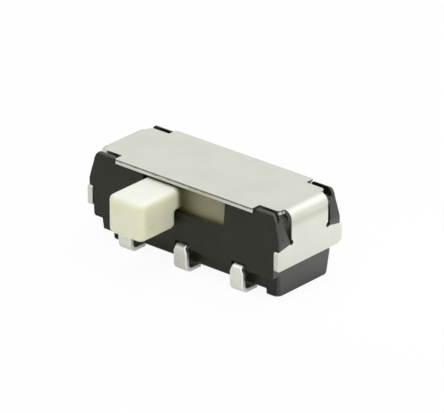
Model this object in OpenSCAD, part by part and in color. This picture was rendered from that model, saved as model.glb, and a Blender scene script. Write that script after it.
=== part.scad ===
// Surface-mount slide switch, worked from the side: a black moulded housing, a plated
// sheet-metal cover clipped over its ends, a pale slider and six J-shaped leads.
// X runs along the travel, the knob points to -Y and Z = 0 is the board under the leads.
// All sizes are in millimetres.

/* [Overall] */
// length over the cover's bent ends
overall_l = 8.5; // [8.2:0.05:9.2]
// depth of the housing, front face to rear face
body_d = 3.2; // [3.0:0.05:3.6]
// height of the cover's top above the board
overall_h = 3.22; // [3.1:0.02:3.5]

/* [Cover] */
// thickness of the cover sheet
sheet_t = 0.2; // [0.16:0.01:0.24]
// inside radius of the two end bends
bend_r = 0.14; // [0.08:0.01:0.2]
// height of the bottom edge of the end arms above the board
arm_z = 1.22; // [1.16:0.02:1.3]
// height of the end arms at their tips
arm_h = 0.7; // [0.6:0.02:0.8]
// how much the top edge of an arm rises towards the stem
arm_rise = 0.13; // [0:0.01:0.15]
// how far the arms stand out past the front and rear faces
arm_out = 0.06; // [0.02:0.01:0.1]
// width of the stem that carries the arms
stem_w = 1.88; // [1.6:0.02:2.0]
// corner radius at the bottom of the rear arms
arm_r = 0.24; // [0.1:0.01:0.3]
// corner radius of the other arm corners
arm_edge_r = 0.1; // [0.04:0.01:0.2]
// radius of the relief notches beside the stem
relief_r = 0.09; // [0.06:0.01:0.12]
// how far the plate's notches reach in from the front and rear faces
notch_in = 0.4; // [0.36:0.01:0.46]
// corner radius of the plate's notches
plate_r = 0.05; // [0.02:0.01:0.08]
// corner radius where the plate narrows to its stems
shoulder_r = 0.16; // [0.08:0.01:0.2]

/* [Housing] */
// thickness of the front and rear walls round the contacts
front_wall = 0.35; // [0.3:0.01:0.42]
// thickness of the front and rear walls beside the slider, and of the ears
rim_wall = 0.2; // [0.17:0.01:0.25]
// how far the front and rear walls lean in at the top
wall_lean = 0.08; // [0.02:0.01:0.1]
// thickness of the two end walls
end_wall = 0.24; // [0.2:0.01:0.3]
// length of each corner ear along the housing
ear_l = 1.19; // [1.0:0.01:1.3]
// how far an ear leans in between its foot and its top
ear_lean = 0.34; // [0.24:0.02:0.5]
// upright part at the foot of an ear
ear_rise = 0.27; // [0.24:0.01:0.4]
// height of the sloped web behind an ear
ear_web = 0.74; // [0.5:0.02:0.78]
// rounding of the ears
ear_r = 0.12; // [0.04:0.01:0.14]
// gap between the ears and the ends of the plate's notches
ear_gap = 0.07; // [0.04:0.01:0.1]
// gap between the ears and the stem
stem_gap = 0.1; // [0.04:0.01:0.14]
// how far the lower block stands back from the front and rear faces
lower_in = 0.26; // [0.2:0.01:0.34]
// how far the lower block stands in from the end walls
lower_end = 0.05; // [0.03:0.01:0.12]
// draft of the lower block over its height
lower_draft = 0.07; // [0.02:0.01:0.15]
// rounding of the front skirt's bottom corners
skirt_r = 0.1; // [0.04:0.01:0.15]
// how far the rear skirt runs past the outer leads
skirt_end = 0.3; // [0.2:0.02:0.5]
// rounding of the lower block's bottom edges
lower_r = 0.15; // [0.08:0.01:0.2]
// height of the housing's underside above the board
stand = 0.22; // [0.18:0.01:0.3]
// height of the moulded feet above the board
foot_gap = 0.05; // [0.02:0.01:0.1]
// length of a moulded foot along the housing
foot_w = 0.5; // [0.4:0.02:0.56]
// depth of a left foot across the housing
foot_d = 0.5; // [0.3:0.05:0.7]
// rounding of the feet
foot_r = 0.08; // [0.04:0.01:0.1]
// gap between the left feet and the leads beside them
foot_clear = 0.1; // [0.05:0.01:0.2]
// gap between a lead and the pocket it comes out of
pocket_gap = 0.05; // [0.03:0.01:0.08]
// depth of that pocket
pocket_d = 0.12; // [0.06:0.01:0.2]

/* [Slider] */
// travel of the slider between its two places
travel = 1.9; // [1.6:0.05:2.0]
// width of the knob along the travel
knob_w = 1.56; // [1.3:0.02:1.6]
// height of the knob
knob_h = 1.42; // [1.2:0.01:1.45]
// how far the knob stands out of the front face
knob_out = 1.9; // [1.4:0.05:2.4]
// rounding of the knob's edges
knob_r = 0.17; // [0.08:0.01:0.24]
// rounding of the knob's heel, below the neck
heel_r = 0.22; // [0.1:0.01:0.3]
// rounding of the carriage's long edges
carriage_r = 0.06; // [0.03:0.01:0.1]
// height of the sill of the slot above the board
sill_z = 2.1; // [2.0:0.01:2.2]
// gap between the knob and each end of the slot at the end of travel
slot_play = 0.08; // [0.05:0.01:0.15]
// running gap round the slider
run_gap = 0.05; // [0.03:0.005:0.08]
// height of the slider's underside above the cavity floor
slider_lift = 0.6; // [0.5:0.02:0.7]

/* [Contacts] */
// spacing of the leads
lead_pitch = 2.5; // [2.4:0.02:2.6]
// width of a lead outside the housing
lead_w = 0.58; // [0.5:0.01:0.64]
// thickness of the lead strip
lead_t = 0.15; // [0.12:0.01:0.18]
// height of the underside of the lead strip where it leaves the housing
lead_z = 0.86; // [0.82:0.01:0.92]
// width of the neck inside the wall
neck_w = 0.42; // [0.34:0.01:0.46]
// height of the chamfered shoulders of a lead
shoulder_h = 0.16; // [0.08:0.01:0.2]
// centreline radius of the bend at the neck of a lead
lead_r = 0.11; // [0.1:0.01:0.2]
// centreline radius of the bend at the foot of a lead
foot_bend_r = 0.22; // [0.14:0.01:0.28]
// length of the foot turned in under the housing
foot_l = 0.72; // [0.6:0.02:0.85]
// width of the contact pad in the cavity floor
pad_w = 0.9; // [0.8:0.02:1.0]
// length of the contact pad across the housing
pad_l = 0.85; // [0.7:0.05:0.9]
// thickness of the moving contact strip
clip_t = 0.1; // [0.08:0.01:0.12]
// width of the moving contact strip
clip_w = 0.5; // [0.4:0.02:0.6]
// slope of the contact fingers, in degrees
finger_a = 40; // [34:1:48]
// bend radius of the contact strip
finger_r = 0.16; // [0.12:0.01:0.24]
// length of each upturned finger tip
tip_l = 0.3; // [0.15:0.01:0.4]
// length of slider beyond each end of the contact channels
channel_end = 0.3; // [0.2:0.02:0.5]
// diameter of the pin that locates a moving contact
pin_d = 0.24; // [0.18:0.02:0.3]

/* [Hidden] */

// gap left where two pieces only just meet
fit_gap = 0.02;
// how far joined solids run into each other
lap = 0.1;

half_l = overall_l / 2;
half_d = body_d / 2;
end_x = half_l - sheet_t;
plate_z = overall_h - sheet_t;
bend_x = end_x - bend_r;
arm_top = arm_z + arm_h;
arm_y = half_d + arm_out;
notch_x = half_l - ear_l;
notch_y = half_d - notch_in;
ear_z = arm_top + fit_gap;
lean_z = ear_z + ear_rise;
web_y = notch_y + ear_gap / 2;
web_z = lean_z + ear_web;
floor_z = lead_z + lead_t;
body_z = arm_z + arm_r;
cavity_x = end_x - end_wall;
cavity_y = half_d - front_wall;
rim_y = half_d - rim_wall;
slot_x = (knob_w + travel) / 2 + slot_play;
carriage_x = cavity_x - travel / 2 - run_gap;
carriage_y = rim_y - run_gap;
carriage_z = floor_z + slider_lift;
ledge_z = carriage_z - run_gap;
slider_top = plate_z - run_gap;
slider_x = -travel / 2;
knob_bottom = slider_top - knob_h;
knob_gap = 2 * run_gap;
clip_y = (cavity_y + cavity_y - pad_l) / 2;
clip_roof = carriage_z + clip_t + run_gap;
contact_x = lead_pitch / 2;
finger_z = finger_r * (1 / cos(finger_a) - 1);

// points of a closed outline, or an open path with zeros at its ends, with rounded corners
function rounded(p, r, n = 8) = [
    for (i = [0 : len(p) - 1])
        let (
            a = p[(i + len(p) - 1) % len(p)],
            b = p[i],
            c = p[(i + 1) % len(p)],
            u = (a - b) / norm(a - b),
            v = (c - b) / norm(c - b),
            h = acos(max(-1, min(1, u * v))) / 2
        )
        each r[i] == 0 ? [b] : corner(b, u, v, h, r[i], n)
];

function corner(b, u, v, h, r, n) =
    let (
        o = b + (u + v) / norm(u + v) * r / sin(h),
        s = b + u * r / tan(h) - o,
        e = b + v * r / tan(h) - o,
        s0 = atan2(s[1], s[0]),
        d0 = atan2(e[1], e[0]) - s0,
        d = d0 > 180 ? d0 - 360 : d0 < -180 ? d0 + 360 : d0
    )
    [for (k = [0 : n]) o + r * [cos(s0 + d * k / n), sin(s0 + d * k / n)]];

function same(r, n) = [for (i = [1 : n]) r];

function box2(x0, y0, x1, y1) = [[x0, y0], [x1, y0], [x1, y1], [x0, y1]];

// outline of a strip of thickness t that follows an open path
function side(p, s) = [
    for (i = [0 : len(p) - 1])
        let (
            a = i == 0 ? p[1] - p[0] : p[i] - p[i - 1],
            b = i == len(p) - 1 ? a : p[i + 1] - p[i],
            m = [-a[1], a[0]] / norm(a),
            k = [-b[1], b[0]] / norm(b)
        )
        p[i] + s * (m + k) / (1 + m * k)
];

function strip(p, t) = concat(
    side(p, t / 2),
    let (q = side(p, -t / 2)) [for (i = [len(q) - 1 : -1 : 0]) q[i]]
);

// front view outline, drawn in X and Z, run from y0 to y1
module front_run(y0, y1) {
    translate([0, y1, 0])
        rotate([90, 0, 0])
            linear_extrude(height = y1 - y0)
                children();
}

// end view outline, drawn in Y and Z, run from x0 to x1
module end_run(x0, x1) {
    translate([x0, 0, 0])
        rotate([90, 0, 90])
            linear_extrude(height = x1 - x0)
                children();
}

module block(x0, x1, y0, y1, z0, z1) {
    translate([x0, y0, z0])
        cube([x1 - x0, y1 - y0, z1 - z0]);
}

// all four copies of a corner feature
module corners() {
    for (i = [0, 1], j = [0, 1])
        mirror([i, 0, 0])
            mirror([0, j, 0])
                children();
}

module both_ends() {
    for (i = [0, 1])
        mirror([i, 0, 0])
            children();
}

// end view of the upper half up to height z: walls that lean in above the arms
function wall_view(z) =
    let (y = half_d - wall_lean * (z - lean_z) / (overall_h - lean_z))
    [[-half_d, body_z], [half_d, body_z], [half_d, lean_z], [y, z], [-y, z], [-half_d, lean_z]];

// height of the top edge of an arm at a distance y from the middle
function arm_line(y) = arm_top + arm_rise * (arm_y - y) / (arm_y - stem_w / 2);

// front view of the upper half up to height z: ends that lean in above the arms
function ear_view(z) =
    let (x = half_l - ear_lean * (z - lean_z) / (overall_h - lean_z))
    [[-half_l, ear_z], [half_l, ear_z], [half_l, lean_z], [x, z], [-x, z], [-half_l, lean_z]];

// corner ear at +X and -Y: a leaning fin with a sloped web that the cover arm snaps under
module ear() {
    x0 = notch_x + ear_gap;
    root_y = -stem_w / 2 - stem_gap;
    intersection() {
        front_run(-half_d, root_y)
            polygon(rounded(ear_view(overall_h), [0, 0, ear_r, ear_r, ear_r, ear_r]));
        end_run(x0, half_l)
            polygon(rounded(wall_view(overall_h), [0, 0, 0, ear_r, ear_r, 0]));
        end_run(x0, half_l)
            polygon(rounded([
                [-half_d, arm_line(half_d) + fit_gap], [root_y, arm_line(-root_y) + fit_gap],
                [root_y, lean_z], [-web_y, web_z],
                [-rim_y, web_z], [-rim_y, overall_h], [-half_d, overall_h]
            ], [0, ear_r / 2, ear_r, ear_r / 2, 0, 0, 0]));
        front_run(-half_d, root_y)
            polygon(rounded(
                box2(x0, ear_z, half_l, overall_h), [0, 0, 0, ear_r]));
    }
}

// upper block: it leans in like the ears at its corners, and its end walls stand upright
module upper_block() {
    intersection() {
        union() {
            difference() {
                front_run(-half_d, half_d)
                    polygon(ear_view(plate_z));
                block(-half_l, half_l, -rim_y, rim_y, lean_z, overall_h);
            }
            block(-end_x, end_x, -half_d, half_d, body_z, lean_z);
            block(-end_x, end_x, -web_y, web_y, body_z, plate_z);
        }
        block(-end_x, end_x, -half_d, half_d, body_z, plate_z);
        end_run(-half_l, half_l)
            polygon(wall_view(plate_z));
    }
}

// front skirt over the whole front face, and a shorter one behind for the rear leads
module skirts() {
    x = end_x - lower_end;
    rear_x = lead_pitch + lead_w / 2 + skirt_end;
    y = half_d - lower_in - lap;
    front_run(-half_d, -y)
        polygon(rounded(
            [[-x, lead_z], [x, lead_z], [end_x, arm_top], [-end_x, arm_top]],
            [skirt_r, skirt_r, 0, 0]));
    block(-rear_x, rear_x, y, half_d, lead_z, arm_top);
}

// lower block: drafted below the skirts and rounded along its bottom edges
module lower_block() {
    x = end_x - lower_end;
    y = half_d - lower_in;
    intersection() {
        front_run(-half_d, half_d)
            polygon(rounded(drafted(x, stand), [0, 0, lower_r, 0, 0, 0]));
        end_run(-half_l, half_l)
            polygon(rounded(drafted(y, stand), [0, 0, lower_r, lower_r, 0, 0]));
    }
}

// half-width w above the cavity floor, narrowing below it down to height z
function drafted(w, z) =
    let (v = w - lower_draft * (floor_z - z) / (floor_z - stand))
    [[-w, arm_top], [-w, floor_z], [-v, z], [v, z], [w, floor_z], [w, arm_top]];

// moulded feet: a rib under the whole right end, and a pair that stands further in at the left
module feet() {
    x = end_x - lower_end;
    y = half_d - lower_in - lower_draft;
    x0 = -lead_pitch - lead_w / 2 - foot_clear;
    for (j = [0, 1])
        mirror([0, j, 0])
            translate([x0 - foot_w, 0, 0])
                front_run(-y, -y + foot_d)
                    polygon(rounded(
                        box2(0, foot_gap, foot_w, stand + lower_r),
                        [foot_r, foot_r, 0, 0]));
    intersection() {
        front_run(-half_d, half_d)
            polygon(rounded(drafted(x, foot_gap), [0, 0, 0, foot_r / 2, 0, 0]));
        end_run(0, half_l)
            polygon(rounded(drafted(y + lower_draft, foot_gap), [0, 0, foot_r, lower_r, 0, 0]));
        block(x - lower_draft - foot_w, half_l, -half_d, half_d, foot_gap, stand + lower_r);
    }
}

// space one lead takes in the wall and floor, with a shallow pocket round its neck
module lead_seat() {
    y0 = cavity_y - pad_l;
    w = lead_w / 2 + pocket_gap;
    block(-pad_w / 2, pad_w / 2, -cavity_y, -y0, lead_z, floor_z + lap);
    block(-neck_w / 2, neck_w / 2, -half_d - lap, -cavity_y + lap, lead_z, floor_z);
    front_run(-half_d - lap, -half_d + pocket_d)
        polygon(rounded(
            box2(-w, stand, w, floor_z + pocket_gap),
            [0, 0, pocket_gap, pocket_gap]));
}

module at_leads() {
    for (x = [-lead_pitch, 0, lead_pitch], j = [0, 1])
        mirror([0, j, 0])
            translate([x, 0, 0])
                children();
}

module housing() {
    color([0.17, 0.17, 0.16])
    difference() {
        union() {
            upper_block();
            corners()
                ear();
            skirts();
            lower_block();
            feet();
        }
        block(-cavity_x, cavity_x, -cavity_y, cavity_y, floor_z, overall_h);
        block(-cavity_x, cavity_x, -rim_y, rim_y, ledge_z, plate_z);
        block(-slot_x, slot_x, -half_d - lap, 0, sill_z, overall_h);
        // room for the inside of the cover's bends
        both_ends()
            front_run(-web_y, web_y)
                polygon([[bend_x, plate_z], [end_x, plate_z - bend_r],
                    [half_l, plate_z - bend_r], [half_l, overall_h],
                    [bend_x, overall_h]]);
        at_leads()
            lead_seat();
    }
}

// flat outline of the plate between its two bends
module plate_outline() {
    y = half_d - fit_gap;
    polygon(rounded([
        [-bend_x, -notch_y], [-notch_x, -notch_y], [-notch_x, -y],
        [notch_x, -y], [notch_x, -notch_y], [bend_x, -notch_y],
        [bend_x, notch_y], [notch_x, notch_y], [notch_x, y],
        [-notch_x, y], [-notch_x, notch_y], [-bend_x, notch_y]
    ], [for (i = [0 : 11]) i % 6 == 0 || i % 6 == 5 ? shoulder_r : plate_r]));
}

// flat outline of one bent end: a stem with two arms and a relief notch in each corner
module end_outline() {
    w = stem_w / 2;
    difference() {
        polygon(rounded([
            [-arm_y, arm_z], [arm_y, arm_z], [arm_y, arm_top], [w, arm_line(w)],
            [w, overall_h], [-w, overall_h], [-w, arm_line(w)], [-arm_y, arm_top]
        ], [arm_edge_r, arm_r, arm_edge_r, 0, 0, 0, 0, arm_edge_r]));
        for (s = [-1, 1])
            translate([s * w, arm_line(w) + relief_r / 2])
                circle(r = relief_r, $fn = 32);
    }
}

module cover() {
    x = half_l - sheet_t / 2;
    z = overall_h - sheet_t / 2;
    r = bend_r + sheet_t / 2;
    color([0.8, 0.8, 0.77])
    intersection() {
        front_run(-arm_y, arm_y)
            polygon(strip(rounded(
                [[-x, arm_z], [-x, z], [x, z], [x, arm_z]], [0, r, r, 0]), sheet_t));
        union() {
            linear_extrude(height = overall_h)
                plate_outline();
            both_ends()
                end_run(bend_x - shoulder_r, half_l)
                    end_outline();
        }
    }
}

// knob and the neck that carries it through the slot
module knob() {
    y0 = -half_d - knob_out;
    y1 = -half_d - knob_gap;
    w = knob_w / 2;
    neck_z = sill_z + run_gap;
    intersection() {
        front_run(y0, -carriage_y + lap)
            polygon(rounded(
                box2(-w, knob_bottom, w, slider_top), same(knob_r, 4)));
        end_run(-w, w)
            polygon(rounded([
                [y0, knob_bottom], [y1, knob_bottom], [y1, neck_z],
                [-carriage_y + lap, neck_z], [-carriage_y + lap, slider_top], [y0, slider_top]
            ], [knob_r, heel_r, carriage_r, 0, 0, knob_r]));
        translate([0, 0, knob_bottom])
            linear_extrude(height = knob_h)
                polygon(rounded(
                    box2(-w, y0, w, -carriage_y + lap), [knob_r, knob_r, 0, 0]));
    }
}

module slider() {
    color([0.93, 0.92, 0.84])
    translate([slider_x, 0, 0]) {
        difference() {
            union() {
                end_run(-carriage_x, carriage_x)
                    polygon(rounded(
                        box2(-carriage_y, carriage_z, carriage_y, slider_top),
                        same(carriage_r, 4)));
                knob();
            }
            // channels for the moving contacts
            for (s = [-1, 1])
                block(-carriage_x + channel_end, carriage_x - channel_end,
                    s * clip_y - clip_w / 2 - run_gap, s * clip_y + clip_w / 2 + run_gap,
                    carriage_z - lap, clip_roof);
        }
        for (s = [-1, 1])
            translate([0, s * clip_y, carriage_z])
                cylinder(h = clip_roof - carriage_z + lap, d = pin_d, $fn = 32);
    }
}

// moving contact: a bowed strip whose two fingers rest on neighbouring pads
module contact_clip(s) {
    x = contact_x;
    z1 = clip_roof - clip_t / 2;
    z0 = floor_z + fit_gap / 2 + clip_t / 2 - finger_z;
    flat = x - (z1 - z0) / tan(finger_a);
    tip = [x + tip_l, z0 + tip_l * tan(finger_a)];
    color([0.72, 0.73, 0.7])
    translate([slider_x, s * clip_y, 0])
        difference() {
            front_run(-clip_w / 2, clip_w / 2)
                polygon(strip(rounded([
                    [-tip[0], tip[1]], [-x, z0], [-flat, z1], [flat, z1], [x, z0], tip
                ], [0, finger_r, finger_r, finger_r, finger_r, 0]), clip_t));
            translate([0, 0, carriage_z])
                cylinder(h = clip_roof, d = pin_d + fit_gap, $fn = 32);
        }
}

module front_contact_clip() {
    contact_clip(-1);
}

module rear_contact_clip() {
    contact_clip(1);
}

// one J lead at X = 0 on the front: pad, neck, drop and the foot turned in underneath
module lead() {
    u = half_d + lead_t / 2;
    z = lead_z + lead_t / 2;
    y0 = cavity_y - pad_l;
    w = lead_w / 2;
    n = neck_w / 2;
    z1 = floor_z - fit_gap;
    z0 = z1 - shoulder_h;
    color([0.85, 0.84, 0.8])
    intersection() {
        end_run(-pad_w, pad_w)
            polygon(strip(rounded([
                [-y0, z], [-u, z], [-u, lead_t / 2], [-u + foot_l, lead_t / 2]
            ], [0, lead_r, foot_bend_r, 0]), lead_t));
        union() {
            block(-pad_w / 2, pad_w / 2, -cavity_y, 0, lead_z, floor_z);
            block(-n, n, -half_d - lap, -cavity_y + lap, lead_z, floor_z);
            block(-w, w, -half_d, 0, 0, lead_z / 2);
            front_run(-half_d - lead_t, -half_d)
                polygon([[-w, 0], [w, 0], [w, z0], [n, z1], [n, floor_z],
                    [-n, floor_z], [-n, z1], [-w, z0]]);
        }
    }
}

module front_left_lead() {
    translate([-lead_pitch, 0, 0])
        lead();
}

module front_common_lead() {
    lead();
}

module front_right_lead() {
    translate([lead_pitch, 0, 0])
        lead();
}

module rear_left_lead() {
    mirror([0, 1, 0])
        front_left_lead();
}

module rear_common_lead() {
    mirror([0, 1, 0])
        front_common_lead();
}

module rear_right_lead() {
    mirror([0, 1, 0])
        front_right_lead();
}

housing();
cover();
slider();
front_contact_clip();
rear_contact_clip();
front_left_lead();
front_common_lead();
front_right_lead();
rear_left_lead();
rear_common_lead();
rear_right_lead();
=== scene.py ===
# %% [markdown]
# # A small slide switch
# A black moulding, a plated sheet cover clipped over it, a pale slider with a square knob, and six
# J-shaped leads. The CAD model gives every place and size. This lesson dresses it: it rounds the
# edges that moulds and press tools round, bends the sheet parts out of flat blanks, and gives each
# surface a finish made of nodes.

# %% Load the frame
import math

import bmesh
import bpy
from mathutils import Matrix, Vector


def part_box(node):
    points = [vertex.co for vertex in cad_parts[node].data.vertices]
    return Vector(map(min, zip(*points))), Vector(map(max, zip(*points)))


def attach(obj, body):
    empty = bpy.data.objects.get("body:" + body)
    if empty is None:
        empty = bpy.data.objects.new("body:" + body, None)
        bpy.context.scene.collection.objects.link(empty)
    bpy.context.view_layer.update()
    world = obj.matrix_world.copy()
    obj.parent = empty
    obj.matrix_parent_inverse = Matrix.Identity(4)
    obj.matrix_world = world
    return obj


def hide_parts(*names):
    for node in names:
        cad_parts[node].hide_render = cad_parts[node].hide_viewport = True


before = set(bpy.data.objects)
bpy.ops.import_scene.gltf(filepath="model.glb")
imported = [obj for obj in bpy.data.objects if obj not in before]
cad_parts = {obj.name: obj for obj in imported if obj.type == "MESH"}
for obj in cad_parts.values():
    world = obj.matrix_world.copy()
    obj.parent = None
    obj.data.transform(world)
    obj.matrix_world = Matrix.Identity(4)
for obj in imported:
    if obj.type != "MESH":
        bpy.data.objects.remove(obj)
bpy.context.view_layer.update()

# %% [markdown]
# The switch is only 8.5 mm long. Blender's mesh tools treat lengths near a millionth of a metre as
# nothing, so every piece is drawn in millimetres and scaled to metres once, when it is finished.

# %% Millimetres
MM = 0.001


def box_mm(node):
    """Lowest and highest corner of a CAD node, in millimetres."""
    low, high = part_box(node)
    return low / MM, high / MM


cover_low, cover_high = box_mm("cover")
slider_low, slider_high = box_mm("slider")
lead_low, lead_high = box_mm("front_common_lead")
print("cover spans", [round(x, 3) for x in cover_high - cover_low], "mm")

# %% [markdown]
# ## Camera
# The photograph was taken from the front right, a little above, with a long lens. The azimuth, the
# elevation and the distance below put the corners of the CAD model on the corners seen in it.

# %% Camera
AZIMUTH = math.radians(40.875)
ELEVATION = math.radians(24.64)
DISTANCE = 195.27
OFFSET_RIGHT = 0.2797
OFFSET_UP = 1.6497
FOCAL_PIXELS = 5754.7
IMAGE_WIDTH = 444

back = Vector((
    math.sin(AZIMUTH) * math.cos(ELEVATION),
    -math.cos(AZIMUTH) * math.cos(ELEVATION),
    math.sin(ELEVATION),
))
right = Vector((math.cos(AZIMUTH), math.sin(AZIMUTH), 0))
up = back.cross(right)

camera = bpy.data.objects.new("camera", bpy.data.cameras.new("camera"))
bpy.context.scene.collection.objects.link(camera)
bpy.context.scene.camera = camera
camera.data.lens = camera.data.sensor_width * FOCAL_PIXELS / IMAGE_WIDTH
camera.data.clip_start = 0.01
camera.location = (back * DISTANCE + right * OFFSET_RIGHT + up * OFFSET_UP) * MM
camera.rotation_mode = "QUATERNION"
camera.rotation_quaternion = (-back).to_track_quat("-Z", "Y")
print("lens", round(camera.data.lens, 1), "mm")

# %% [markdown]
# ## Node arithmetic
# Materials and Geometry Nodes are both trees of nodes. A Wire holds one output socket. Adding or
# multiplying wires adds the Math node that does it, so a rule reads like ordinary arithmetic. A
# Bench adds any other node: its settings are set first, then its sockets are linked or filled.


# %% Wires and benches
class Wire:
    """One output socket of a node tree; arithmetic on it adds Math nodes."""

    def __init__(self, bench, socket):
        self.bench = bench
        self.socket = socket

    def out(self, name):
        return Wire(self.bench, self.socket.node.outputs[name])

    def math(self, operation, *values):
        sockets = dict(enumerate(values))
        return self.bench.node("ShaderNodeMath", {"operation": operation}, sockets)

    def __add__(self, other):
        return self.math("ADD", self, other)

    def __radd__(self, other):
        return self.math("ADD", other, self)

    def __sub__(self, other):
        return self.math("SUBTRACT", self, other)

    def __rsub__(self, other):
        return self.math("SUBTRACT", other, self)

    def __mul__(self, other):
        return self.math("MULTIPLY", self, other)

    def __rmul__(self, other):
        return self.math("MULTIPLY", other, self)

    def __truediv__(self, other):
        return self.math("DIVIDE", self, other)

    def at_least(self, other):
        return self.math("MAXIMUM", self, other)

    def at_most(self, other):
        return self.math("MINIMUM", self, other)

    def size(self):
        return self.math("ABSOLUTE", self)

    def ramp(self, low, high):
        """0 at low, 1 at high, smooth between."""
        settings = {"interpolation_type": "SMOOTHSTEP"}
        sockets = {"Value": self, "From Min": low, "From Max": high}
        return self.bench.node("ShaderNodeMapRange", settings, sockets)


class Bench:
    """Adds nodes to one tree."""

    def __init__(self, tree):
        self.tree = tree

    def node(self, kind, settings=None, sockets=None):
        made = self.tree.nodes.new(kind)
        for name, value in (settings or {}).items():
            setattr(made, name, value)
        for name, value in (sockets or {}).items():
            if isinstance(value, Wire):
                self.tree.links.new(value.socket, made.inputs[name])
            else:
                made.inputs[name].default_value = value
        return Wire(self, made.outputs[0]) if len(made.outputs) else made


print("node arithmetic ready")


# %% [markdown]
# A finish starts from Object coordinates in millimetres. Its colour is mixed by masks, and one
# Principled shader takes the result. Only base colour, roughness, coat weight and the normal vary
# over the surface; everything else is one number on the shader's own socket.


# %% A finish
COLOUR_A = 6
COLOUR_B = 7
COLOUR_OUT = 2


class Finish(Bench):
    """A new material with its coordinates and a Principled shader."""

    def __init__(self, name):
        self.material = bpy.data.materials.new(name)
        self.material.use_nodes = True
        super().__init__(self.material.node_tree)
        self.tree.nodes.clear()
        place = self.node("ShaderNodeTexCoord").out("Object")
        scale = {"Vector": place, "Scale": (1 / MM,) * 3}
        self.mm = self.node("ShaderNodeMapping", None, scale)

    def axis(self, name):
        return self.node("ShaderNodeSeparateXYZ", None, {0: self.mm}).out(name)

    def noise(self, size, detail=3.0, stretch=(1, 1, 1), place=None):
        """Soft noise from 0 to 1 whose features are about size mm across."""
        scale = {"Vector": place or self.mm, "Scale": tuple(s / size for s in stretch)}
        vector = self.node("ShaderNodeMapping", None, scale)
        sockets = {"Vector": vector, "Scale": 1.0, "Detail": detail}
        return self.node("ShaderNodeTexNoise", None, sockets)

    def cells(self, size):
        """Distance to the nearest of many points that stand about size mm apart."""
        return self.node("ShaderNodeTexVoronoi", None, {"Vector": self.mm, "Scale": 1 / size})

    def mix(self, mask, a, b):
        """Colour a where mask is 0, colour b where it is 1."""
        sides = {
            slot: (*c, 1) if isinstance(c, tuple) else c
            for slot, c in ((COLOUR_A, a), (COLOUR_B, b))
        }
        made = self.node("ShaderNodeMix", {"data_type": "RGBA"}, {0: mask, **sides})
        return Wire(self, made.socket.node.outputs[COLOUR_OUT])

    def bump(self, height, depth):
        """Normal of a surface whose height varies by depth mm."""
        sockets = {"Height": height, "Distance": depth * MM}
        return self.node("ShaderNodeBump", None, sockets)

    def close(self, **sockets):
        """Add the shader, with its sockets named by keywords, and give the material."""
        sockets = {name.replace("_", " "): value for name, value in sockets.items()}
        shader = self.node("ShaderNodeBsdfPrincipled", None, sockets)
        self.node("ShaderNodeOutputMaterial", None, {"Surface": shader})
        print("finish:", self.material.name, "with", len(self.tree.nodes), "nodes")
        return self.material


# %% [markdown]
# ## Black moulding
# The housing is moulded in a heat-resistant black plastic. Its tool is spark-eroded, which leaves a
# fine dull grain, and the glass fibre in it shows as faint pale flecks. The grain is a bump a few
# thousandths of a millimetre deep, and the roughness drifts a little from place to place. The two
# long faces stay dull, while the tool's slides polish the ends, the ears and the rounded edges, so
# a mask from the surface's own normal lays a thin gloss on those.

# %% Black moulding
BLACK = (0.0115, 0.0125, 0.0045)
BLACK_WORN = (0.022, 0.0228, 0.0125)

moulding = Finish("black_moulding")
grain = moulding.noise(0.045, 4.0)
drift = moulding.noise(1.1, 3.0)
normal = moulding.node("ShaderNodeNewGeometry").out("Normal")
facing = moulding.node("ShaderNodeSeparateXYZ", None, {0: normal}).out("Y").size()
flecks = moulding.cells(0.16).ramp(0.16, 0.05) * moulding.noise(0.5).ramp(0.5, 0.7)
black_moulding = moulding.close(
    Base_Color=moulding.mix(drift.ramp(0.35, 0.75) * 0.45 + flecks * 0.35, BLACK, BLACK_WORN),
    Roughness=0.41 + (grain - 0.5) * 0.12 + (drift - 0.5) * 0.12,
    Specular_IOR_Level=0.3,
    Coat_Weight=facing.ramp(0.95, 0.75),
    Coat_Roughness=0.3,
    Normal=moulding.bump(grain, 0.0025),
)

# %% [markdown]
# ## Plated sheet
# The cover is rolled steel with a satin nickel plate. Rolling leaves fine lines along the sheet, and
# they follow it round the bends, so the pattern reads the place each point had in the flat blank,
# which the bending tree stores as an attribute. The blank is punched from below, so its long cut
# edges are smooth in their lower half and torn and duller above, with a ragged line between. The
# left end and the arms are trimmed clean. Just past each bend a darker band is painted into the
# colour: a painted reflection of the darker walls that the curve of the bend mirrors there.

# %% Plated sheet
NICKEL = (0.725, 0.73, 0.655)
NICKEL_DULL = (0.66, 0.66, 0.585)
PAINTED_DARK_BAND = (0.58, 0.605, 0.497)
TORN = (0.2, 0.195, 0.165)
TORN_DEPTH = (0.085, 0.06)
SHEARED_FROM = (-3.3, -3.0)
SHEARED_TO = (5.05, 4.95)
DARK_BAND_START = (4.25, 4.34)
DARK_BAND_END = (4.66, 4.42)

plating = Finish("plated_sheet")
flat = plating.node("ShaderNodeAttribute", {"attribute_name": "flat_place"}).out("Vector")
cut = plating.node("ShaderNodeAttribute", {"attribute_name": "cut_edge"}).out("Fac")
flat_x = plating.node("ShaderNodeSeparateXYZ", None, {0: flat})
depth = flat_x.out("Z") * -1
rolled = plating.noise(0.03, 2.0, stretch=(0.035, 1, 1), place=flat)
smudge = plating.noise(1.4, 3.0, place=flat)
ragged = plating.noise(0.14, 4.0, place=flat)
sheared = flat_x.ramp(*SHEARED_FROM) * flat_x.ramp(*SHEARED_TO)
torn = cut * sheared * (depth + (ragged - 0.5) * 0.06).ramp(*TORN_DEPTH)
tone = plating.mix(smudge.ramp(0.35, 0.75) * 0.5 + (rolled - 0.5) * 0.2, NICKEL, NICKEL_DULL)
# Painted reflection: a darker band just past each bend stands in for the darker walls mirrored
# there.
along = flat_x.size() + (smudge - 0.5) * 0.1
tone = plating.mix(along.ramp(*DARK_BAND_START) * along.ramp(*DARK_BAND_END), tone, PAINTED_DARK_BAND)
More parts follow.
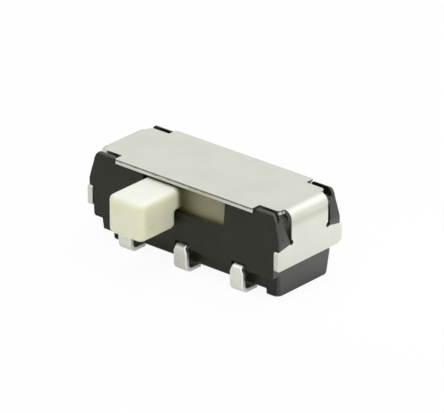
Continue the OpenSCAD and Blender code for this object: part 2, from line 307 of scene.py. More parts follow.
plated_sheet = plating.close(
    Base_Color=plating.mix((torn * 0.9).at_least(cut * 0.12), tone, TORN),
    Metallic=1.0,
    Roughness=0.36 + (rolled - 0.5) * 0.05 + (smudge - 0.5) * 0.1 + torn * 0.2,
    Normal=plating.bump(rolled + torn * ragged * 4, 0.0003),
)

# %% [markdown]
# ## Pale moulding
# The slider is a cream nylon, waxy rather than opaque: light enters it and comes out a little way
# off, which softens the shading of the knob. One number on the shader's subsurface sockets does
# that. Its upward faces are coloured paler, a painted highlight. Handling has polished it unevenly
# and left a faint scuff on one side. The carriage inside the slot is coloured a dark yellow,
# darkest at the neck of the knob: painted shade for the recess of the slot and the knob beside it.

# %% Pale moulding
PAINTED_SLOT_SHADE = (0.3, 0.27, 0.155)
PAINTED_SLOT_SHADE_DEEP = (0.13, 0.11, 0.04)
CREAM = (0.895, 0.895, 0.71)
CREAM_WARM = (0.87, 0.86, 0.63)
PAINTED_TOP_HIGHLIGHT = (0.93, 0.93, 0.85)
SCUFF = (0.55, 0.53, 0.42)
SCUFF_PLACE = (-0.2, -2.95, 2.02)
SCUFF_REACH = (0.16, 0.03)
SLOT_START = (-1.75, -1.5)
NECK_TO_END = (0.75, -0.15)

waxy = Finish("pale_moulding")
cloud = waxy.noise(0.9, 3.0)
skin = waxy.noise(0.06, 3.0)
scuff_spot = waxy.node(
    "ShaderNodeVectorMath", {"operation": "DISTANCE"}, {0: waxy.mm, 1: SCUFF_PLACE})
scuff = scuff_spot.out("Value").ramp(*SCUFF_REACH) * waxy.noise(0.07, 3.0).ramp(0.42, 0.6)
# Painted shade: the carriage inside the slot is coloured dark, darkest beside the neck of the knob.
inside = waxy.axis("Y").ramp(*SLOT_START)
slot_shade_colour = waxy.mix(waxy.axis("X").ramp(*NECK_TO_END), PAINTED_SLOT_SHADE, PAINTED_SLOT_SHADE_DEEP)
normal = waxy.node("ShaderNodeNewGeometry").out("Normal")
# Painted highlight: faces that look upward are coloured paler.
upward = waxy.node("ShaderNodeSeparateXYZ", None, {0: normal}).out("Z").ramp(0.3, 0.9)
cream = waxy.mix(cloud.ramp(0.35, 0.7), CREAM, CREAM_WARM)
clean = waxy.mix(scuff * 0.4, waxy.mix(upward * 0.85, cream, PAINTED_TOP_HIGHLIGHT), SCUFF)
pale_moulding = waxy.close(
    Base_Color=waxy.mix(inside * 0.95, clean, slot_shade_colour),
    Roughness=0.37 + (cloud - 0.5) * 0.1 + (skin - 0.5) * 0.06,
    Subsurface_Weight=0.7,
    Subsurface_Radius=(1.0, 0.8, 0.45),
    Subsurface_Scale=0.45 * MM,
    Specular_IOR_Level=0.7,
    Normal=waxy.bump(skin, 0.0015),
)

# %% [markdown]
# ## Tinned strip
# The leads are brass strip with a bright tin coat. Tin freezes in small grains that reflect light a
# little differently, so the roughness changes from cell to cell and the surface ripples slightly.
# The rounded rims, which the bending tree marks, are coloured a brighter tin: a painted highlight
# along the edges. The contacts inside are a greyer strip with a finer ripple.


# %% Tinned strip
PAINTED_RIM_HIGHLIGHT = (0.97, 0.965, 0.93)


def strip_finish(name, clean, dull, ripple):
    strip = Finish(name)
    spangle = strip.node("ShaderNodeSeparateColor", None, {0: strip.cells(0.12).out("Color")})
    wave = strip.noise(0.22, 2.0)
    stain = strip.noise(0.5, 4.0)
    rim = strip.node("ShaderNodeAttribute", {"attribute_name": "rim"}).out("Fac")
    face = strip.mix(stain.ramp(0.5, 0.8) * 0.6 + spangle * 0.15, clean, dull)
    return strip.close(
        # Painted highlight: the rims are coloured bright tin.
        Base_Color=strip.mix(rim, face, PAINTED_RIM_HIGHLIGHT),
        Metallic=1.0,
        Roughness=0.3 + spangle * 0.1 + stain.ramp(0.45, 0.8) * 0.16,
        Normal=strip.bump(wave, ripple),
    )


tinned_strip = strip_finish("tinned_strip", (0.84, 0.83, 0.76), (0.66, 0.64, 0.56), 0.006)
contact_strip = strip_finish("contact_strip", (0.76, 0.75, 0.7), (0.6, 0.58, 0.52), 0.004)

# %% [markdown]
# ## Finishing a piece
# Every piece ends the same way. The mesh is scaled to metres, its sides are shaded smooth except
# across sharp edges, it takes its finish, it rides on its CAD body, and its CAD nodes are hidden.

# %% Finishing a piece
SMOOTH_ANGLE = math.radians(33)
BROAD_FACE = 0.1


def evaluated_mesh(thing):
    """A plain mesh of an object with its modifiers applied."""
    bpy.context.view_layer.update()
    graph = bpy.context.evaluated_depsgraph_get()
    return bpy.data.meshes.new_from_object(thing.evaluated_get(graph))


def new_object(name, mesh):
    made = bpy.data.objects.new(name, mesh)
    bpy.context.scene.collection.objects.link(made)
    return made


def breadth(face):
    """Width of a face, as its area over its longest edge."""
    return face.calc_area() / max(edge.calc_length() for edge in face.edges)


def crisp(edge):
    """True for an edge that turns sharply or lies between two broad faces."""
    if len(edge.link_faces) != 2:
        return True
    broad = min(breadth(face) for face in edge.link_faces) > BROAD_FACE
    return broad or edge.calc_face_angle() > SMOOTH_ANGLE


def even_shading(mesh):
    """Smooth shading that leaves flat faces flat: normals are weighted by face size."""
    bm = bmesh.new()
    bm.from_mesh(mesh)
    for face in bm.faces:
        face.smooth = True
    for edge in bm.edges:
        edge.smooth = not crisp(edge)
    bm.to_mesh(mesh)
    bm.free()
    rough = new_object("rough", mesh)
    rough.modifiers.new("weigh", "WEIGHTED_NORMAL").keep_sharp = True
    even = evaluated_mesh(rough)
    bpy.data.objects.remove(rough)
    return even


def finish_piece(name, mesh, material, body, nodes):
    mesh = even_shading(mesh)
    mesh.transform(Matrix.Scale(MM, 4))
    mesh.materials.clear()
    mesh.materials.append(material)
    made = new_object(name, mesh)
    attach(made, body)
    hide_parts(*nodes)
    print(name, "has", len(mesh.polygons), "faces")


# %% [markdown]
# ## Housing
# The CAD housing already has every step, slot and ear. A mould also rounds each outer edge a
# little, and those small rounds catch the light. A CAD node's mesh is loose triangles, so a copy of
# it is merged first. Its coplanar triangles are joined into whole faces only after the Boolean,
# which leaves slits where it meets whole faces with points along a straight edge.

# %% Copies of the CAD
MERGE = 1e-4
FLAT_ANGLE = math.radians(0.2)


def cad_copy(node):
    """A merged copy of a CAD node in millimetres."""
    bm = bmesh.new()
    bm.from_mesh(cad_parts[node].data)
    bmesh.ops.scale(bm, vec=(1 / MM,) * 3, verts=bm.verts)
    bmesh.ops.remove_doubles(bm, verts=bm.verts, dist=MERGE)
    return bm


def join_coplanar(bm):
    bmesh.ops.dissolve_limit(bm, angle_limit=FLAT_ANGLE, verts=bm.verts, edges=bm.edges)


def to_mesh(bm, name):
    mesh = bpy.data.meshes.new(name)
    bm.to_mesh(mesh)
    bm.free()
    return mesh


def combined(first, second, operation):
    """Two closed meshes put through a Boolean."""
    base = new_object("base", first)
    other = new_object("other", second)
    boolean = base.modifiers.new("combine", "BOOLEAN")
    boolean.operation = operation
    boolean.solver = "EXACT"
    boolean.object = other
    mesh = evaluated_mesh(base)
    bpy.data.objects.remove(base)
    bpy.data.objects.remove(other)
    return mesh


print("points closer than", MERGE, "mm are merged")

# %% [markdown]
# A bevel turns a sharp edge into a round one. It would fold over itself where the sharp edge meets
# a very short one, so only edges with room round them are bevelled, and the bevel's own clamp, which
# would shrink every round to the tightest one, stays off.

# %% Rounding edges
SHARP_ANGLE = math.radians(34)
EDGE_ROOM = 0.05


def sharp_edges(bm):
    return [e for e in bm.edges if len(e.link_faces) == 2 and e.calc_face_angle() > SHARP_ANGLE]


def roomy(edges):
    """The edges that have room for rounding: no very short edge touches them."""
    return [
        e for e in edges
        if min(other.calc_length() for v in e.verts for other in v.link_edges) > EDGE_ROOM
    ]


def round_edges(bm, edges, width, segments):
    bmesh.ops.bevel(
        bm, geom=edges, offset=width, offset_type="OFFSET", segments=segments,
        profile=0.5, affect="EDGES", clamp_overlap=False,
    )


print("edges that meet one shorter than", EDGE_ROOM, "mm stay sharp")

# %% [markdown]
# The lower block has round corners where its ends meet its front, and the foot under its right end
# is rounder still toward the table. Cutters in the shape of the waste are lofted through rings
# drawn from above, each a height and a radius, and a Boolean takes them off the block.

# %% Cutters for the lower block
BLOCK_CORNER = 0.13
BLOCK_TOP = 0.905
BLOCK_X = 3.909
BLOCK_Y = 1.25
BLOCK_DRAFT = 0.09
CUTTER_WASTE = 0.065
ARC_STEPS = 6
PLAIN_CORNER = [(0.0, BLOCK_CORNER), (BLOCK_TOP, BLOCK_CORNER)]
FOOT_CORNER = [
    (0.0, 0.4), (0.05, 0.33), (0.08, 0.25), (0.12, 0.185), (0.17, 0.145), (0.23, BLOCK_CORNER),
]


def corner_plan(r):
    """The waste outside a corner of radius r, drawn from above with the corner at the origin."""
    plan = [(-CUTTER_WASTE, -CUTTER_WASTE), (r, -CUTTER_WASTE)]
    for k in range(ARC_STEPS + 1):
        angle = math.radians(90 * k / ARC_STEPS)
        plan.append((r - r * math.sin(angle), r - r * math.cos(angle)))
    plan.append((-CUTTER_WASTE, r))
    return plan


def corner_cutters():
    """Two cutters that leave a round corner where the ends of the lower block meet its front."""
    bm = bmesh.new()
    for side, levels in ((-1, PLAIN_CORNER), (1, FOOT_CORNER + PLAIN_CORNER[1:])):
        rings = []
        for z, r in levels:
            x = BLOCK_X + BLOCK_DRAFT * z
            y = BLOCK_Y + BLOCK_DRAFT * z
            rings.append([bm.verts.new((side * (x - a), b - y, z)) for a, b in corner_plan(r)])
        bm.faces.new(rings[0])
        bm.faces.new(rings[-1])
        for low, high in zip(rings, rings[1:]):
            for i in range(len(low)):
                bm.faces.new((low[i - 1], low[i], high[i], high[i - 1]))
    bmesh.ops.recalc_face_normals(bm, faces=bm.faces)
    return to_mesh(bm, "cutters")


cutters = corner_cutters()
print("cutters have", len(cutters.polygons), "faces")

# %% [markdown]
# Each ear leans in toward its top. Its slope is slightly crowned and its rims are softer than other
# edges. The slopes are found by their normals, cut across at even heights, and each cut is pushed
# outward along a sine curve that is fullest a little above the middle.

# %% Ears
EAR_EDGE = 0.07
EAR_CROWN = 0.045
CROWN_BANDS = 7
CROWN_SKEW = 0.75
RIM_X = 3.85
RIM_Y = 1.5
RIM_Z = 1.9
SLOPE_OUT = 0.8
SLOPE_UP = 0.15
SLOPE_Z = 2.3


def ear_rims(bm):
    """The edges between each ear's slope and the long faces."""
    return [
        e for e in roomy(sharp_edges(bm))
        if all(abs(v.co.x) > RIM_X and abs(v.co.y) > RIM_Y and v.co.z > RIM_Z for v in e.verts)
    ]


def ear_slopes(bm):
    bm.normal_update()
    return [
        f for f in bm.faces
        if abs(f.normal.x) > SLOPE_OUT and f.normal.z > SLOPE_UP
        and f.calc_center_median().z > SLOPE_Z
    ]


def crown_ears(bm):
    """Turn the flat slope of each ear into a slightly crowned one."""
    slopes = ear_slopes(bm)
    geometry = set(slopes)
    for face in slopes:
        geometry.update(face.edges, face.verts)
    top = max(v.co.z for f in slopes for v in f.verts)
    low = min(v.co.z for f in slopes for v in f.verts)
    for k in range(1, CROWN_BANDS):
        height = low + (top - low) * k / CROWN_BANDS
        made = bmesh.ops.bisect_plane(
            bm, geom=list(geometry), dist=MERGE, plane_co=(0, 0, height), plane_no=(0, 0, 1))
        geometry = set(made["geom"]) | set(made["geom_cut"])
    for vert in (g for g in geometry if isinstance(g, bmesh.types.BMVert)):
        share = (top - vert.co.z) / (top - low)
        push = EAR_CROWN * math.sin(math.pi * share ** CROWN_SKEW)
        vert.co.x += math.copysign(push, vert.co.x)
    print("ears:", len(slopes), "slopes from", round(low, 2), "to", round(top, 2), "mm")


print("ear slopes are crowned by", EAR_CROWN, "mm")

# %% [markdown]
# Now the steps run in order. The corners are cut and coplanar faces joined. A tiny step at the foot
# of each ear's slope is merged away, so that the crown starts cleanly. The rims of the ears get
# their round, then every other sharp edge that has room gets a smaller one.

# %% Build the housing
HOUSING_EDGE = 0.028
SLOPE_FOOT_X = 4.2
SLOPE_FOOT_LOW = 2.12
SLOPE_FOOT_HIGH = 2.28

block = combined(to_mesh(cad_copy("housing"), "block"), cutters, "DIFFERENCE")
bm = bmesh.new()
bm.from_mesh(block)
bmesh.ops.remove_doubles(bm, verts=bm.verts, dist=MERGE)
join_coplanar(bm)
foot_of_slope = [
    v for v in bm.verts
    if abs(v.co.x) > SLOPE_FOOT_X and SLOPE_FOOT_LOW < v.co.z < SLOPE_FOOT_HIGH
]
bmesh.ops.remove_doubles(bm, verts=foot_of_slope, dist=EDGE_ROOM)
crown_ears(bm)
round_edges(bm, ear_rims(bm), EAR_EDGE, 3)
round_edges(bm, roomy(sharp_edges(bm)), HOUSING_EDGE, 2)
bmesh.ops.dissolve_degenerate(bm, dist=MERGE, edges=bm.edges)
print("open edges on the housing:", sum(len(e.link_faces) != 2 for e in bm.edges))
finish_piece(
    "moulded_housing", to_mesh(bm, "housing"), black_moulding, "case",
    ["housing"])

# %% [markdown]
# ## A tree that bends sheet metal
# A press bends a flat blank along a line. Points before the line stay. Points past it wind onto an
# arc, and points past the arc carry on straight in the new direction. The tree does just that with
# each point's position: blank lengths are kept on the middle of the sheet. The cover uses it once
# at each end, and a lead uses it at its foot and at its neck.

# %% A tree that bends sheet metal
FLOAT = "NodeSocketFloat"


def new_tree(name, inputs):
    """A Geometry Nodes tree with a geometry in and out, and its named inputs as wires."""
    tree = bpy.data.node_groups.new(name, "GeometryNodeTree")
    tree.interface.new_socket("Geometry", in_out="OUTPUT", socket_type="NodeSocketGeometry")
    tree.interface.new_socket("Geometry", in_out="INPUT", socket_type="NodeSocketGeometry")
    for title, kind in inputs:
        tree.interface.new_socket(title, in_out="INPUT", socket_type=kind)
    bench = Bench(tree)
    entry = bench.node("NodeGroupInput")
    return bench, [entry.out(title) for title in ("Geometry", *(t for t, _ in inputs))]


def end_tree(bench, geometry):
    bench.node("NodeGroupOutput", None, {"Geometry": geometry})
    return bench.tree


def press_bend_tree():
    bench, (blank, line, inside, angle, sheet) = new_tree("press bend", [
        ("Bend line", FLOAT), ("Inside radius", FLOAT), ("Angle", FLOAT), ("Sheet", FLOAT)])
    place = bench.node("ShaderNodeSeparateXYZ", None, {0: bench.node("GeometryNodeInputPosition")})
    x, y, z = place, place.out("Y"), place.out("Z")
    outside = inside + sheet
    middle = inside + sheet * 0.5
    past = (x - line).at_least(0)
    wound = past.at_most(middle * angle)
    turn = wound / middle
    tail = past - wound
    radius = outside + z
    sine = turn.math("SINE", turn)
    cosine = turn.math("COSINE", turn)
    bent = bench.node("ShaderNodeCombineXYZ", None, {
        0: x.at_most(line) + radius * sine + tail * cosine,
        1: y,
        2: radius * cosine - tail * sine - outside,
    })
    moved = bench.node("GeometryNodeSetPosition", None, {"Geometry": blank, "Position": bent})
    return end_tree(bench, moved)


press_bend = press_bend_tree()
print("tree:", press_bend.name, "with", len(press_bend.nodes), "nodes")

# %% [markdown]
# A blank is drawn as a flat outline with rounded corners, cut out of the sheet, and its upper and
# lower rims are eased. The side that the punch enters is rolled over, and the side that it leaves
# stays almost sharp: the cover is punched from below and the leads from above. Cuts across the
# blank give the bends enough faces to look round.


# %% Drawing a blank
def rounded(points, radii, steps=8):
    """A closed outline with its corners rounded."""
    outline = []
    for i, (here, radius) in enumerate(zip(points, radii)):
        here = Vector(here)
        if not radius:
            outline.append(here)
            continue
        before = (Vector(points[i - 1]) - here).normalized()
        after = (Vector(points[(i + 1) % len(points)]) - here).normalized()
        half = before.angle(after) / 2
        centre = here + (before + after).normalized() * radius / math.sin(half)
        start = here + before * radius / math.tan(half) - centre
        end = here + after * radius / math.tan(half) - centre
        sweep = start.angle_signed(end)
        for k in range(steps + 1):
            turned = Matrix.Rotation(-sweep * k / steps, 2) @ start
            outline.append(centre + turned)
    return outline


def cut_blank(outline, sheet, upper, lower, cuts):
    """A slab from z = -sheet to 0 with both rims eased, cut across at each x in cuts."""
    bm = bmesh.new()
    top = bm.faces.new([bm.verts.new((x, y, 0)) for x, y in outline])
    bm.normal_update()
    if top.normal.z < 0:
        top.normal_flip()
    made = bmesh.ops.extrude_face_region(bm, geom=[top])
    sunk = [v for v in made["geom"] if isinstance(v, bmesh.types.BMVert)]
    bmesh.ops.translate(bm, verts=sunk, vec=(0, 0, -sheet))
    bmesh.ops.recalc_face_normals(bm, faces=bm.faces)
    highest = [e for e in bm.edges if all(v.co.z > -MERGE for v in e.verts)]
    round_edges(bm, highest, upper, 3)
    lowest = [e for e in bm.edges if all(v.co.z < -sheet + MERGE for v in e.verts)]
    round_edges(bm, lowest, lower, 1)
    for x in cuts:
        everything = [*bm.verts, *bm.edges, *bm.faces]
        bmesh.ops.bisect_plane(
            bm, geom=everything, dist=MERGE, plane_co=(x, 0, 0), plane_no=(1, 0, 0))
    return to_mesh(bm, "blank")


def pressed(tree, blank, values):
    """The blank put through a tree, as a plain mesh. Inputs are set by their identifiers."""
    thing = new_object("blank", blank)
    press = thing.modifiers.new("press", "NODES")
    press.node_group = tree
    sockets = {s.name: s.identifier for s in tree.interface.items_tree if s.in_out == "INPUT"}
    for title, value in values.items():
        press[sockets[title]] = value
    mesh = evaluated_mesh(thing)
    bpy.data.objects.remove(thing)
    return mesh


print("blank tools ready")

# %% [markdown]
# ## Cover
# One blank makes the whole cover: a plate with a notch for each ear, two stems, and two arms on
# each stem. A small round relief at each root lets the arm spring without tearing. The tree keeps
# each point's flat place for the rolled grain, marks the cut edges, and bends the ends down.

# %% Cover
SHEET = 0.2
COVER_INSIDE = 0.14
NOTCH_X = 3.06
PLATE_Y = 1.58
NOTCH_Y = 1.2
STEM_Y = 0.94
ARM_TOP = 1.92
ARM_RISE = 0.13
ARM_ROUND = 0.24
ARM_EDGE = 0.1
PUNCH_CORNER = 0.05
NOTCH_ROUND = 0.16
RELIEF = 0.09
RELIEF_SWEEP = 240
RELIEF_STEPS = 16
BEND_CUTS = 14
COVER_UPPER = 0.012
COVER_LOWER = 0.03
CUT_TILT = 0.3

bend_x = cover_high.x - SHEET - COVER_INSIDE
bend_arc = (COVER_INSIDE + SHEET / 2) * math.pi / 2
bend_z = cover_high.z - SHEET - COVER_INSIDE


def blank_x(z):
    """Where a height on the bent end lies on the flat blank."""
    return bend_x + bend_arc + bend_z - z


def cover_corner(arm_round):
    """Quarter outline of the blank, from the middle of the long edge to the end."""
    root = blank_x(ARM_TOP + ARM_RISE)
    arm = blank_x(ARM_TOP)
    tip = blank_x(cover_low.z)
    arm_y = cover_high.y
    points = [
        (0, PLATE_Y), (NOTCH_X, PLATE_Y), (NOTCH_X, NOTCH_Y), (bend_x, NOTCH_Y),
        (bend_x, STEM_Y), (root - RELIEF * 1.5, STEM_Y), (arm, arm_y), (tip, arm_y), (tip, 0),
    ]
    radii = [
        0, PUNCH_CORNER, PUNCH_CORNER, NOTCH_ROUND, PUNCH_CORNER, 0, ARM_EDGE, arm_round, 0,
    ]
    outline = rounded([*points, (0, 0)], [*radii, 0])[:-1]
    relief = []
    for k in range(RELIEF_STEPS + 1):
        angle = math.radians(180 + RELIEF_SWEEP * k / RELIEF_STEPS)
        relief.append(Vector((
            root - RELIEF / 2 + RELIEF * math.cos(angle), STEM_Y + RELIEF * math.sin(angle))))
    start = next(i for i, p in enumerate(outline) if (p - relief[0]).length < MERGE)
    return outline[:start] + relief + outline[start + 1:]


def cover_outline():
    rear = cover_corner(ARM_ROUND)[1:-1]
    front = cover_corner(ARM_EDGE)[1:-1]
    end = rear + [Vector((p.x, -p.y)) for p in reversed(front)]
    return end + [Vector((-p.x, p.y)) for p in reversed(end)]


print("cover blank is", round(2 * blank_x(cover_low.z), 3), "mm long before bending")


# %% Bend the cover
def cover_tree():
    bench, (blank, sheet, line, inside, top, material) = new_tree("cover press", [
        ("Sheet", FLOAT), ("Bend line", FLOAT), ("Inside radius", FLOAT), ("Top height", FLOAT),
        ("Plating", "NodeSocketMaterial")])
    position = bench.node("GeometryNodeInputPosition")
    normal = bench.node("GeometryNodeInputNormal")
    upright = bench.node("ShaderNodeSeparateXYZ", None, {0: normal}).out("Z").size()
    kept = bench.node(
        "GeometryNodeStoreNamedAttribute", {"data_type": "FLOAT_VECTOR", "domain": "POINT"},
        {"Geometry": blank, "Name": "flat_place", "Value": position})
    kept = bench.node(
        "GeometryNodeStoreNamedAttribute", {"data_type": "FLOAT", "domain": "FACE"},
        {"Geometry": kept, "Name": "cut_edge",
         "Value": upright.math("LESS_THAN", upright, CUT_TILT)})
    for _ in range(2):
        kept = bench.node("GeometryNodeGroup", {"node_tree": press_bend}, {
            "Geometry": kept, "Bend line": line, "Inside radius": inside,
            "Angle": math.pi / 2, "Sheet": sheet})
        kept = bench.node("GeometryNodeTransform", None, {
            "Geometry": kept, "Rotation": (0, 0, math.pi)})
    lift = bench.node("ShaderNodeCombineXYZ", None, {2: top})
    placed = bench.node("GeometryNodeTransform", None, {"Geometry": kept, "Translation": lift})
    whole = bench.node("GeometryNodeRealizeInstances", None, {"Geometry": placed})
    plated = bench.node("GeometryNodeSetMaterial", None, {"Geometry": whole, "Material": material})
    return end_tree(bench, plated)


bend_cuts = [bend_x + bend_arc * k / BEND_CUTS for k in range(BEND_CUTS + 1)]
cover_blank = cut_blank(
    cover_outline(), SHEET, COVER_UPPER, COVER_LOWER, [*bend_cuts, *(-x for x in bend_cuts)])
cover_mesh = pressed(cover_tree(), cover_blank, {
    "Sheet": SHEET, "Bend line": bend_x, "Inside radius": COVER_INSIDE,
    "Top height": cover_high.z, "Plating": plated_sheet})
finish_piece("bent_cover", cover_mesh, plated_sheet, "case", ["cover"])

# %% [markdown]
# ## Slider
# The knob is the part a finger touches, so all its edges are well rounded and its corners are parts
# of a ball. A Bevel modifier with many segments gives that, and bevel weights on the edges make the
# two upright front corners rounder than the rest. The carriage behind it comes from the CAD copy,
# cut off in front of the slot, and a Boolean joins the two into one moulding.

# %% Slider
KNOB_EDGE = 0.22
KNOB_CORNER = 0.28
KNOB_WIDE = 1.56
HEEL_Y = -1.7
NECK_Z = 2.15
CARRIAGE_FRONT = -1.355
ROOT_LENGTH = 0.6
KNOB_STEPS = 8

slider_x = (slider_low.x + slider_high.x) / 2


def knob_mesh():
    """The knob and its neck, drawn from the side and run across its width."""
    root = CARRIAGE_FRONT + ROOT_LENGTH
    side = [
        (slider_low.y, slider_low.z), (HEEL_Y, slider_low.z), (HEEL_Y, NECK_Z),
        (root, NECK_Z), (root, slider_high.z), (slider_low.y, slider_high.z),
    ]
    bm = bmesh.new()
    near = bm.faces.new([bm.verts.new((slider_x - KNOB_WIDE / 2, y, z)) for y, z in side])
    made = bmesh.ops.extrude_face_region(bm, geom=[near])
    far = [v for v in made["geom"] if isinstance(v, bmesh.types.BMVert)]
    bmesh.ops.translate(bm, verts=far, vec=(KNOB_WIDE, 0, 0))
    bmesh.ops.recalc_face_normals(bm, faces=bm.faces)
    thing = new_object("knob", to_mesh(bm, "knob"))
    mesh = thing.data
    weights = mesh.attributes.new("bevel_weight_edge", "FLOAT", "EDGE").data
    for edge, weight in zip(mesh.edges, weights):
        a, b = (mesh.vertices[i].co for i in edge.vertices)
        corner = max(a.y, b.y) < slider_low.y + MERGE and abs(a.z - b.z) > MERGE
        weight.value = 1.0 if corner else KNOB_EDGE / KNOB_CORNER
    bevel = thing.modifiers.new("round", "BEVEL")
    bevel.limit_method = "WEIGHT"
    bevel.width = KNOB_CORNER
    bevel.segments = KNOB_STEPS
    mesh = evaluated_mesh(thing)
    bpy.data.objects.remove(thing)
    return mesh


def carriage_mesh():
    bm = cad_copy("slider")
    join_coplanar(bm)
    cut = bmesh.ops.bisect_plane(
        bm, geom=[*bm.verts, *bm.edges, *bm.faces], dist=MERGE,
        plane_co=(0, CARRIAGE_FRONT, 0), plane_no=(0, -1, 0), clear_outer=True)
    rim = [e for e in cut["geom_cut"] if isinstance(e, bmesh.types.BMEdge)]
    bmesh.ops.edgeloop_fill(bm, edges=rim)
    bmesh.ops.recalc_face_normals(bm, faces=bm.faces)
    return to_mesh(bm, "carriage")


finish_piece(
    "knob_slider", combined(carriage_mesh(), knob_mesh(), "UNION"), pale_moulding, "slide",
    ["slider"])

# %% [markdown]
# ## Leads
# Each lead is stamped from strip: a contact pad inside, a narrow neck through the wall, chamfered
# shoulders and a straight tail. Its tail is bent down outside the wall and its foot turned in under
# the housing. The tree bends one blank, sets it on a line of three points, and turns that row round
# for the other side.

# %% Lead blank
STRIP = 0.15
NECK_BEND = 0.035
FOOT_BEND = 0.145
PITCH = 2.5
LEADS_IN_ROW = 3
PAD_Y = 0.45
NECK_Y = 0.21
TAIL_Y = 0.29
PAD_END_Y = 1.25
FOOT_REACH = 0.5
SHOULDER_START = 0.1
SHOULDER_END = 0.26
LEAD_CORNERS = [0.06, 0.06, 0.03, 0.03, 0.06, 0.06]
LEAD_UPPER = 0.04
LEAD_LOWER = 0.012
NECK_CUTS = 10
FOOT_CUTS = 12
RIM_TILT = 0.98

neck_line = -(lead_low.y + STRIP + NECK_BEND)
pad_start = -lead_high.y - neck_line
pad_end = PAD_END_Y - neck_line
neck_arc = (NECK_BEND + STRIP / 2) * math.pi / 2
foot_arc = (FOOT_BEND + STRIP / 2) * math.pi / 2
foot_line = neck_arc + lead_high.z - 2 * STRIP - NECK_BEND - FOOT_BEND
foot_end = foot_line + foot_arc + FOOT_REACH


def lead_outline():
    half = [
        (pad_start, PAD_Y), (pad_end, PAD_Y), (pad_end, NECK_Y), (SHOULDER_START, NECK_Y),
        (SHOULDER_END, TAIL_Y), (foot_end, TAIL_Y),
    ]
    other = [(x, -y) for x, y in reversed(half)]
    return rounded([*half, *other], [*LEAD_CORNERS, *reversed(LEAD_CORNERS)], 4)


def lead_cuts():
    neck = [neck_arc * k / NECK_CUTS for k in range(NECK_CUTS + 1)]
    foot = [foot_line + foot_arc * k / FOOT_CUTS for k in range(FOOT_CUTS + 1)]
    return neck + foot


lead_blank = cut_blank(lead_outline(), STRIP, LEAD_UPPER, LEAD_LOWER, lead_cuts())
print("lead blank is", round(foot_end - pad_start, 3), "mm long before bending")


# %% Bend and place the leads
def lead_tree():
    bench, (blank, sheet, pitch, neck, foot, reach, height, material) = new_tree("lead press", [
        ("Sheet", FLOAT), ("Pitch", FLOAT), ("Neck radius", FLOAT), ("Foot radius", FLOAT),
        ("Reach", FLOAT), ("Height", FLOAT), ("Tin", "NodeSocketMaterial")])
    normal = bench.node("GeometryNodeInputNormal")
    upright = bench.node("ShaderNodeSeparateXYZ", None, {0: normal}).out("Z").size()
    bent = bench.node(
        "GeometryNodeStoreNamedAttribute", {"data_type": "FLOAT", "domain": "FACE"},
        {"Geometry": blank, "Name": "rim",
         "Value": upright.math("LESS_THAN", upright, RIM_TILT)})
    for line, inside in ((foot_line, foot), (0.0, neck)):
        bent = bench.node("GeometryNodeGroup", {"node_tree": press_bend}, {
            "Geometry": bent, "Bend line": line, "Inside radius": inside,
            "Angle": math.pi / 2, "Sheet": sheet})
    out_front = bench.node("ShaderNodeCombineXYZ", None, {1: reach * -1, 2: height})
    lead = bench.node("GeometryNodeTransform", None, {
        "Geometry": bent, "Translation": out_front, "Rotation": (0, 0, -math.pi / 2)})
    first = bench.node("ShaderNodeCombineXYZ", None, {0: pitch * -1})
    step = bench.node("ShaderNodeCombineXYZ", None, {0: pitch})
    points = bench.node("GeometryNodeMeshLine", {"mode": "OFFSET"}, {
        "Count": LEADS_IN_ROW, "Start Location": first, "Offset": step})
    front = bench.node("GeometryNodeInstanceOnPoints", None, {"Points": points, "Instance": lead})
    rear = bench.node("GeometryNodeTransform", None, {
        "Geometry": front, "Rotation": (0, 0, math.pi)})
    both = bench.node("GeometryNodeJoinGeometry", None, {0: front})
    bench.tree.links.new(rear.socket, both.socket.node.inputs[0])
    whole = bench.node("GeometryNodeRealizeInstances", None, {"Geometry": both})
    tinned = bench.node("GeometryNodeSetMaterial", None, {"Geometry": whole, "Material": material})
    return end_tree(bench, tinned)


leads_mesh = pressed(lead_tree(), lead_blank, {
    "Sheet": STRIP, "Pitch": PITCH, "Neck radius": NECK_BEND, "Foot radius": FOOT_BEND,
    "Reach": neck_line, "Height": lead_high.z, "Tin": tinned_strip})
finish_piece(
    "tinned_leads", leads_mesh, tinned_strip, "case",
    sorted(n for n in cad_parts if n.endswith("_lead")))

# %% [markdown]
# ## Moving contacts
# The two bowed contacts under the carriage are right as the CAD has them, and are hidden in use.
# They keep their CAD meshes and get the finish of bare plated strip.

# %% Moving contacts
for name in ("front_contact_clip", "rear_contact_clip"):
    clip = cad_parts[name]
    clip.data.materials.clear()
    clip.data.materials.append(contact_strip)
    print(name, "keeps its CAD mesh")

# %% [markdown]
# ## Stage and light
# The switch stands on a white table in a white room. Both are white to the camera, and the table
# still takes the shadow. In reflections the room is darker toward the horizon, as studio walls are
# darker than the ceiling, which gives the bent metal its light and dark bands; the darker band just
# past each bend of the cover is also a painted reflection in the sheet's colour.

# %% Table and world
TABLE_SIZE = 1.2
TABLE_WHITE = (0.93, 0.93, 0.93, 1)
TABLE_SEEN = 0.94
TABLE_MIRRORED = 0.25
SKY_STRENGTH = 0.45
CEILING = 0.9
WALLS = 0.56
WALL_TOP = 0.35
WALL_FOOT = 0.1


def seen_as_white(bench, shader, direct, mirrored):
    """Mix a white glow over a shader: one share for camera rays, one for reflected ones."""
    path = bench.node("ShaderNodeLightPath")
    bent = (path.out("Is Glossy Ray") + path.out("Is Transmission Ray")).at_most(1)
    share = (path.out("Is Camera Ray") * direct + bent * mirrored).at_most(1)
    glow = bench.node("ShaderNodeEmission", None, {"Color": (1, 1, 1, 1), "Strength": 1.0})
    return bench.node("ShaderNodeMixShader", None, {0: share, 1: shader, 2: glow})


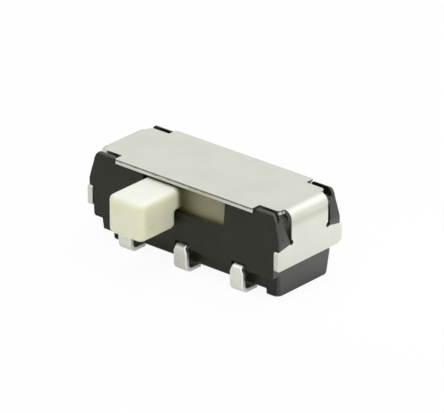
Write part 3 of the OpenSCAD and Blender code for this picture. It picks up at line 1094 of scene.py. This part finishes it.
def make_table():
    material = bpy.data.materials.new("table_white")
    material.use_nodes = True
    bench = Bench(material.node_tree)
    bench.tree.nodes.clear()
    matt = bench.node("ShaderNodeBsdfDiffuse", None, {"Color": TABLE_WHITE})
    surface = seen_as_white(bench, matt, TABLE_SEEN, TABLE_MIRRORED)
    bench.node("ShaderNodeOutputMaterial", None, {"Surface": surface})
    bm = bmesh.new()
    bmesh.ops.create_grid(bm, x_segments=1, y_segments=1, size=TABLE_SIZE / 2)
    table = new_object("table", to_mesh(bm, "table"))
    table.data.materials.append(material)


def make_world():
    world = bpy.data.worlds.new("studio")
    world.use_nodes = True
    bench = Bench(world.node_tree)
    bench.tree.nodes.clear()
    light = {"Color": (1, 1, 1, 1), "Strength": SKY_STRENGTH}
    sky = bench.node("ShaderNodeBackground", None, light)
    direction = bench.node("ShaderNodeTexCoord").out("Generated")
    height = bench.node("ShaderNodeSeparateXYZ", None, {0: direction}).out("Z")
    mirrored = CEILING - (CEILING - WALLS) * height.ramp(WALL_TOP, WALL_FOOT)
    surface = seen_as_white(bench, sky, 1.0, mirrored)
    bench.node("ShaderNodeOutputWorld", None, {"Surface": surface})
    bpy.context.scene.world = world


make_table()
make_world()
bpy.context.scene.view_settings.view_transform = "Standard"
print("room: ceiling", CEILING, "and walls", WALLS, "in reflections")

# %% [markdown]
# The light is plain and soft. A large key light stands high behind the right end, one overhead
# lights the top of the knob, and two weak fills lift the front and the right end. A small lamp
# stands where the bend of the cover mirrors it. A spot keeps the table white beside the switch. It
# and the overhead light stay out of reflections, or the flat cover would mirror them and turn plain
# white when seen from above.

# %% Lamps
POOL_BLEND = 0.8
POOL_SOFTNESS = 0.004


def soft_light(name, toward, distance, size, power, mirrored=True):
    """A square soft light that looks at the switch from the direction it is given."""
    lamp = bpy.data.lights.new(name, "AREA")
    lamp.size = size
    lamp.energy = power
    made = bpy.data.objects.new(name, lamp)
    direction = Vector(toward).normalized()
    made.location = direction * distance
    made.rotation_mode = "QUATERNION"
    made.rotation_quaternion = direction.to_track_quat("Z", "Y")
    made.visible_glossy = mirrored
    bpy.context.scene.collection.objects.link(made)
    print("light:", name, power, "W")


def floor_pool(name, place, height, radius, power):
    """A spot that looks straight down and lights only a round patch of the table."""
    lamp = bpy.data.lights.new(name, "SPOT")
    lamp.spot_size = 2 * math.atan(radius / height)
    lamp.spot_blend = POOL_BLEND
    lamp.shadow_soft_size = POOL_SOFTNESS
    lamp.energy = power
    made = bpy.data.objects.new(name, lamp)
    made.location = (*place, height)
    made.visible_glossy = False
    bpy.context.scene.collection.objects.link(made)
    print("light:", name, power, "W")


soft_light("key_light", toward=(0.55, 0.8, 1.0), distance=0.5, size=1.0, power=1.0)
soft_light(
    "overhead_light", toward=(0.0, -0.1, 1.0), distance=0.4, size=0.25, power=0.58, mirrored=False)
soft_light("front_fill", toward=(-0.5, -0.65, 0.75), distance=0.4, size=0.15, power=0.07)
soft_light("side_fill", toward=(0.9, -0.25, 0.45), distance=0.4, size=0.3, power=0.15)
soft_light("bend_light", toward=(0.25, 0.69, 0.66), distance=0.5, size=0.22, power=0.08)
floor_pool("floor_pool", place=(0.0085, 0.0045), height=0.08, radius=0.005, power=0.1)
